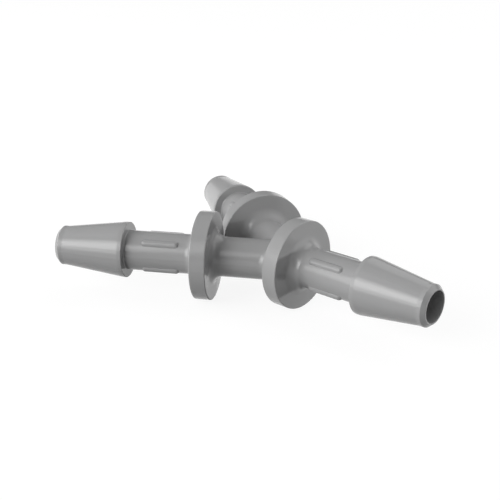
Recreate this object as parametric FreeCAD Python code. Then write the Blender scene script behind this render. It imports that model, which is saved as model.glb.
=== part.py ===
import FreeCAD, Part
import math
import os

# Tubing Y connector with barbed ends, moulded in one piece. Millimetres, +Z up.
# One stem and two branches meet at the junction of their axes, all in one level plane.
# The stem points along +X. The branches run back from the junction, evenly to both sides.

# Layout
branch_angle = 60.0        # between the two branches
rim_gap = 0.05             # between the branch flanges' inner rims, before their edges are rounded
stem_setback = 0.1         # the stem flange's inner face, from the junction toward the branches

# Tube and flow passage
tube_radius = 2.8          # shanks, and the branches between junction and flange
bore_radius = 2.12
mouth_round = 0.04         # inner edge of each mouth

# Flanges, which stop the tubing and which the part rests on
flange_radius = 6.2
flange_thickness = 2.25
rim_round = 0.14
root_fillet = 1.4          # where a tube meets a flange, and in the crotch

# Shanks, from the flange to the barb
shank_length = 10.2

# Barbs
barb_length = 10.2         # from the back edge to the mouth
barb_radius = 3.94
barb_land = 0.58           # straight band behind the cone
barb_back_fillet = 0.15    # barb's back face to shank
barb_edge_round = 0.09
tip_radius = 2.8           # narrow end of the cone
tip_land = 0.62            # straight band between the cone and the chamfer
tip_chamfer = 0.53         # length of the chamfer along the arm
tip_edge_round = 0.07
lip_radius = 2.3           # outer edge of the flat lip around the mouth

# Beads, four along each shank, midway between the level plane and the upright one
bead_count = 4
bead_radius = 0.56         # of the bead's own round section
bead_height = 0.31         # above the shank
bead_margin = 2.35         # from the flange, and from the barb, to the bead's ends

# Working values
corner_share = 0.48        # of a side, the most that one rounded corner may use
nearly_zero = 1e-4

half_angle = math.radians(branch_angle / 2)
branch_start = (flange_radius * math.cos(half_angle) + rim_gap / 2) / math.sin(half_angle)
face_reach = flange_radius - 2 * rim_round   # how far out a root may come on a flange's face
axis_x = FreeCAD.Vector(1, 0, 0)
axis_z = FreeCAD.Vector(0, 0, 1)
centre = FreeCAD.Vector(0, 0, 0)


def arm_stations(flange_start):
    """Distances along an arm, from the junction, of all its steps."""
    flange_end = flange_start + flange_thickness
    barb_start = flange_end + shank_length
    mouth = barb_start + barb_length
    return flange_end, barb_start, mouth


def rounded_wire(corners):
    """Closed wire in the XY plane through (x, y, rounding) corners, with tangent arcs."""
    points = [FreeCAD.Vector(x, y, 0) for x, y, rounding in corners]
    count = len(corners)
    ends = []
    for i, (x, y, rounding) in enumerate(corners):
        here = points[i]
        back = points[i - 1] - here
        ahead = points[(i + 1) % count] - here
        if rounding == 0:
            ends.append((here, here, here))
            continue
        opening = back.getAngle(ahead)
        reach = min(rounding / math.tan(opening / 2), corner_share * min(back.Length, ahead.Length))
        sagitta = reach / math.cos(opening / 2) - reach * math.tan(opening / 2)
        back.normalize()
        ahead.normalize()
        inward = back + ahead
        inward.normalize()
        ends.append((here + back * reach, here + inward * sagitta, here + ahead * reach))
    edges = []
    for i, (first, middle, last) in enumerate(ends):
        if (last - first).Length > 0:
            edges.append(Part.Arc(first, middle, last).toShape())
        edges.append(Part.LineSegment(last, ends[(i + 1) % count][0]).toShape())
    return Part.Wire(edges)


def turned(corners):
    """Solid of revolution about the X axis."""
    return Part.Face(rounded_wire(corners)).revolve(centre, axis_x, 360)


def arm(flange_start):
    """Flange, shank and barb, with the tube that leads to the flange, along +X."""
    flange_end, barb_start, mouth = arm_stations(flange_start)
    cone_end = mouth - tip_chamfer - tip_land
    corners = [
        (flange_start, flange_radius, rim_round),
        (flange_end, flange_radius, rim_round),
        (flange_end, tube_radius, root_fillet),
        (barb_start, tube_radius, barb_back_fillet),
        (barb_start, barb_radius, barb_edge_round),
        (barb_start + barb_land, barb_radius, 0),
        (cone_end, tip_radius, 0),
        (mouth - tip_chamfer, tip_radius, tip_edge_round),
        (mouth, lip_radius, 0),
        (mouth, 0, 0),
        (min(flange_start, 0), 0, 0),
    ]
    if flange_start > 0:
        corners += [(0, tube_radius, 0), (flange_start, tube_radius, root_fillet)]
    return turned(corners)


def bead():
    """One bead along +X, round in section and at both ends, centred on its own length."""
    half_length = shank_length / 2 - bead_margin
    straight = half_length - bead_radius
    diagonal = bead_radius * math.sqrt(0.5)
    left = Part.Arc(
        FreeCAD.Vector(-half_length, 0, 0),
        FreeCAD.Vector(-straight - diagonal, diagonal, 0),
        FreeCAD.Vector(-straight, bead_radius, 0),
    ).toShape()
    right = Part.Arc(
        FreeCAD.Vector(straight, bead_radius, 0),
        FreeCAD.Vector(straight + diagonal, diagonal, 0),
        FreeCAD.Vector(half_length, 0, 0),
    ).toShape()
    top = Part.LineSegment(left.valueAt(left.LastParameter), right.valueAt(right.FirstParameter)).toShape()
    base = Part.LineSegment(right.valueAt(right.LastParameter), left.valueAt(left.FirstParameter)).toShape()
    return Part.Face(Part.Wire([left, top, right, base])).revolve(centre, axis_x, 360)


def beads(flange_start):
    """All beads of one shank, sunk into it so that each stands out by its height."""
    mid_shank = arm_stations(flange_start)[0] + shank_length / 2
    off_axis = tube_radius + bead_height - bead_radius
    placed = []
    for i in range(bead_count):
        one = bead()
        one.translate(FreeCAD.Vector(mid_shank, 0, off_axis))
        one.rotate(centre, axis_x, (i + 0.5) * 360 / bead_count)
        placed.append(one)
    return placed


def passage(mouth):
    """Bore along +X from the junction out of the mouth, flared by the mouth's rounding."""
    past = mouth + mouth_round
    flare = bore_radius + mouth_round
    slope = mouth_round * (1 - math.sqrt(0.5))
    edges = [
        Part.LineSegment(FreeCAD.Vector(past, 0, 0), centre).toShape(),
        Part.LineSegment(centre, FreeCAD.Vector(0, bore_radius, 0)).toShape(),
        Part.LineSegment(
            FreeCAD.Vector(0, bore_radius, 0), FreeCAD.Vector(mouth - mouth_round, bore_radius, 0)
        ).toShape(),
        Part.Arc(
            FreeCAD.Vector(mouth - mouth_round, bore_radius, 0),
            FreeCAD.Vector(mouth - slope, bore_radius + slope, 0),
            FreeCAD.Vector(mouth, flare, 0),
        ).toShape(),
        Part.LineSegment(FreeCAD.Vector(mouth, flare, 0), FreeCAD.Vector(past, flare, 0)).toShape(),
        Part.LineSegment(FreeCAD.Vector(past, flare, 0), FreeCAD.Vector(past, 0, 0)).toShape(),
    ]
    return Part.Face(Part.Wire(edges)).revolve(centre, axis_x, 360)


def at_arm(shape, angle):
    """Copy of a shape modelled along +X, turned about the junction to an arm's direction."""
    placed = shape.copy()
    placed.rotate(centre, axis_z, angle)
    return placed


def junction_edges(body):
    """Edges in the crotch, and where the branches meet the stem flange's inner face."""
    crotch_reach = branch_start - root_fillet
    found = []
    for edge in body.Edges:
        middle = edge.valueAt((edge.FirstParameter + edge.LastParameter) / 2)
        spots = [vertex.Point for vertex in edge.Vertexes] + [middle]
        in_face = all(abs(p.x + stem_setback) < nearly_zero and p.Length < face_reach for p in spots)
        in_crotch = all(abs(p.y) < nearly_zero and p.Length < crotch_reach for p in spots)
        if in_face or (in_crotch and middle.x < -stem_setback):
            found.append(edge)
    return found


def junction_radius():
    """Root fillet, held to what the stem flange's face and the branches leave room for."""
    face_room = face_reach - tube_radius / math.cos(half_angle)
    face_corner = (math.pi / 2 - half_angle) / 2
    branch_room = (branch_start - root_fillet) * math.tan(half_angle) - tube_radius
    return min(root_fillet, face_room * math.tan(face_corner), branch_room)


# Branches first, then the stem, so that all three roots at the junction are rounded together
branch_angles = (180 - branch_angle / 2, 180 + branch_angle / 2)
arms = [(0.0, -stem_setback)] + [(angle, branch_start) for angle in branch_angles]
outer = [at_arm(arm(start), angle) for angle, start in arms]
body = outer[0].fuse(outer[1:]).removeSplitter()
body = body.makeFillet(junction_radius(), junction_edges(body))

all_beads = [at_arm(one, angle) for angle, start in arms for one in beads(start)]
body = body.fuse(all_beads)

passages = [at_arm(passage(arm_stations(start)[2]), angle) for angle, start in arms]
body = body.cut(passages[0].fuse(passages[1:]))

# The part rests on its flange rims, with the middle of its footprint at the origin
footprint = body.optimalBoundingBox(False, False)
body.translate(FreeCAD.Vector(-(footprint.XMin + footprint.XMax) / 2, 0, flange_radius))

os.makedirs("parts", exist_ok=True)
body.exportStep("parts/y_connector.step")
print("y_connector solids", len(body.Solids), "valid", body.isValid(), "volume", round(body.Volume, 2))
print("size", [round(v, 3) for v in (footprint.XLength, footprint.YLength, footprint.ZLength)])
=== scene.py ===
import bpy
import math
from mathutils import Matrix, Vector

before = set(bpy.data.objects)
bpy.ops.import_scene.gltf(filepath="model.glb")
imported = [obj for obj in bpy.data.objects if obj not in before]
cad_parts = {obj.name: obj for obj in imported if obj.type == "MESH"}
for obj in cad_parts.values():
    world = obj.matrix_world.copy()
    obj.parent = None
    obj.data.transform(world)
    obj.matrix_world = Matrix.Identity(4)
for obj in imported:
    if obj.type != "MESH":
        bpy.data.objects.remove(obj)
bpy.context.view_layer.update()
print("frame loaded")


# small helpers for shader trees

def socketOf(sockets, key):    # by number, by name, or by identifier where names repeat
    for socket in sockets:
        if key in (socket.identifier, socket.name):
            return socket
    return sockets[key]


def addNode(tree, kind, values=None, **settings):
    made = tree.nodes.new(kind)
    for name, value in settings.items():
        setattr(made, name, value)
    for key, value in (values or {}).items():
        socketOf(made.inputs, key).default_value = value
    return made


def newMaterial(name):
    material = bpy.data.materials.new(name)
    material.use_nodes = True
    material.node_tree.nodes.clear()
    return material, material.node_tree


def addNoise(tree, place, scale, detail):
    noise = addNode(tree, "ShaderNodeTexNoise", {"Scale": scale, "Detail": detail})
    tree.links.new(place, noise.inputs["Vector"])
    return noise.outputs["Fac"]


def finishMaterial(tree, shader):
    out = addNode(tree, "ShaderNodeOutputMaterial")
    tree.links.new(shader.outputs["BSDF"], out.inputs["Surface"])


# moulded plastic

plastic = {
    "colour": (0.36, 0.36, 0.362),
    "darkest": 0.965,         # share of the colour where the melt flowed last
    "flowScale": 160,         # per metre, slow drift of the tone
    "flowDetail": 3,
    "grainScale": 9000,       # per metre, spark-eroded mould skin
    "grainDetail": 2,
    "grainHeight": 0.000001,  # metres
    "grainStrength": 0.08,
    "glossiest": 0.13,
    "dullest": 0.19,
    "refraction": 1.5,
}


def makePlastic(look):
    material, tree = newMaterial("mouldedPlastic")
    link = tree.links.new
    place = addNode(tree, "ShaderNodeTexCoord").outputs["Object"]
    flow = addNoise(tree, place, look["flowScale"], look["flowDetail"])
    grain = addNoise(tree, place, look["grainScale"], look["grainDetail"])

    pale = (*look["colour"], 1)
    dark = (*[c * look["darkest"] for c in look["colour"]], 1)
    tone = addNode(tree, "ShaderNodeMix", {"A_Color": dark, "B_Color": pale}, data_type="RGBA")
    link(flow, socketOf(tone.inputs, "Factor_Float"))

    sheen = addNode(tree, "ShaderNodeMapRange", {"To Min": look["glossiest"], "To Max": look["dullest"]})
    link(flow, sheen.inputs["Value"])

    skin = {"Strength": look["grainStrength"], "Distance": look["grainHeight"]}
    bump = addNode(tree, "ShaderNodeBump", skin)
    link(grain, bump.inputs["Height"])

    shader = addNode(tree, "ShaderNodeBsdfPrincipled", {"IOR": look["refraction"]})
    link(socketOf(tone.outputs, "Result_Color"), shader.inputs["Base Color"])
    link(sheen.outputs["Result"], shader.inputs["Roughness"])
    link(bump.outputs["Normal"], shader.inputs["Normal"])
    finishMaterial(tree, shader)
    return material


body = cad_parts["y_connector"]
body.material_slots[0].material = makePlastic(plastic)
print("plastic made")


# round floor that bends up at its edge, white to the eye but grey to the light that bounces off it

floor = {
    "flatRadius": 2.2,    # metres
    "bend": 0.3,          # metres, radius of the bend
    "bendSteps": 8,
    "sides": 96,
    "paint": 0.15,        # grey that the lamps and the object's shadow fall on
    "glow": 0.89,         # white that is added for the camera and in reflections
    "roughness": 0.9,
}


def floorOutline(look):    # radius and height, from the edge of the flat part to the top of the bend
    outline = []
    for i in range(look["bendSteps"] + 1):
        turn = math.pi / 2 * i / look["bendSteps"]
        out, up = look["bend"] * math.sin(turn), look["bend"] * (1 - math.cos(turn))
        outline.append((look["flatRadius"] + out, up))
    return outline


def floorMesh(look):
    outline, sides = floorOutline(look), look["sides"]
    corners = []
    for radius, height in outline:
        for j in range(sides):
            turn = 2 * math.pi * j / sides
            corners.append((radius * math.cos(turn), radius * math.sin(turn), height))
    faces = [tuple(range(sides))]
    for i in range(len(outline) - 1):
        for j in range(sides):
            here, nextOne = i * sides + j, i * sides + (j + 1) % sides
            faces.append((here, here + sides, nextOne + sides, nextOne))
    mesh = bpy.data.meshes.new("floor")
    mesh.from_pydata(corners, [], faces)
    mesh.shade_smooth()
    mesh.polygons[0].use_smooth = False    # the flat part
    return mesh


def floorMaterial(look):
    material, tree = newMaterial("paleFloor")
    link = tree.links.new
    rays = addNode(tree, "ShaderNodeLightPath")
    seen = rays.outputs["Is Camera Ray"]
    for kind in ("Is Glossy Ray", "Is Transmission Ray"):
        either = addNode(tree, "ShaderNodeMath", operation="MAXIMUM")
        link(seen, either.inputs[0])
        link(rays.outputs[kind], either.inputs[1])
        seen = either.outputs[0]
    strength = addNode(tree, "ShaderNodeMath", {1: look["glow"]}, operation="MULTIPLY")
    link(seen, strength.inputs[0])
    paint = (look["paint"], look["paint"], look["paint"], 1)
    matt = {"Base Color": paint, "Roughness": look["roughness"], "Specular IOR Level": 0}
    shader = addNode(tree, "ShaderNodeBsdfPrincipled", {**matt, "Emission Color": (1, 1, 1, 1)})
    link(strength.outputs[0], shader.inputs["Emission Strength"])
    finishMaterial(tree, shader)
    return material


def makeFloor(look):
    mesh = floorMesh(look)
    mesh.materials.append(floorMaterial(look))
    piece = bpy.data.objects.new("floor", mesh)
    bpy.context.scene.collection.objects.link(piece)


makeFloor(floor)
print("floor made")


# studio light

lamps = {    # degrees round the object and up, metres away, half the angle that the disc fills, brightness
    "key": (-11, 24, 0.6, 12, 2.8),
    "keyEdge": (-12, 21, 0.7, 24, 2.8),    # makes the key's reflection fade out
    "streak": (16, 41, 0.65, 13, 1.3),     # the faint band along the left arm's round faces
    "left": (-62, 18, 0.6, 20, 2.8),
    "wash": (-36, 34, 0.8, 32, 0.45),
    "behind": (128, 24, 0.7, 24, 1.1),
    "back": (182, 42, 0.8, 27, 1.0),
    "side": (132, 2.5, 0.6, 1.7, 360),     # low, for a crisp shadow across the stem's flange
}
studio = {
    "unmirrored": ("side",),    # too small to be seen in the plastic's gloss
    "sky": 0.19,
}


def outwards(azimuth, elevation):    # azimuth 0 is the -Y side, 90 the +X side
    turn, rise = math.radians(azimuth), math.radians(elevation)
    return Vector((math.sin(turn) * math.cos(rise), -math.cos(turn) * math.cos(rise), math.sin(rise)))


def makeLamps(rig, unmirrored, aim):
    for name, (azimuth, elevation, distance, halfAngle, brightness) in rig.items():
        radius = distance * math.tan(math.radians(halfAngle))
        data = bpy.data.lights.new(name, "AREA")
        data.shape = "DISK"
        data.size = 2 * radius
        data.energy = brightness * math.pi * (math.pi * radius ** 2)
        lamp = bpy.data.objects.new(name, data)
        bpy.context.scene.collection.objects.link(lamp)
        away = outwards(azimuth, elevation)
        lamp.location = aim + away * distance
        lamp.rotation_euler = (-away).to_track_quat("-Z", "Y").to_euler()
        lamp.visible_glossy = name not in unmirrored


def makeSky(level):
    world = bpy.data.worlds.new("studio")
    bpy.context.scene.world = world
    world.use_nodes = True
    background = world.node_tree.nodes["Background"]
    background.inputs["Color"].default_value = (1, 1, 1, 1)
    background.inputs["Strength"].default_value = level


# camera, looking at a point level with the arms' axes

camera = {
    "azimuth": 40.99,
    "elevation": 21.57,
    "distance": 0.12997,      # metres
    "aim": Vector((-0.00328, -0.00052, 0.0062)),
    "focalPixels": 916.96,
    "frame": 500,             # pixels
    "sensor": 36,             # millimetres
    "nearest": 0.005,
    "farthest": 50,
}


def makeCamera(view):
    data = bpy.data.cameras.new("camera")
    data.sensor_width = view["sensor"]
    data.lens = view["focalPixels"] / view["frame"] * view["sensor"]
    data.clip_start, data.clip_end = view["nearest"], view["farthest"]
    piece = bpy.data.objects.new("camera", data)
    bpy.context.scene.collection.objects.link(piece)
    back = outwards(view["azimuth"], view["elevation"])
    piece.location = view["aim"] + back * view["distance"]
    piece.rotation_euler = (-back).to_track_quat("-Z", "Y").to_euler()
    bpy.context.scene.camera = piece


makeLamps(lamps, studio["unmirrored"], camera["aim"])
makeSky(studio["sky"])
makeCamera(camera)
bpy.context.scene.view_settings.view_transform = "Standard"
print("lights and camera made")
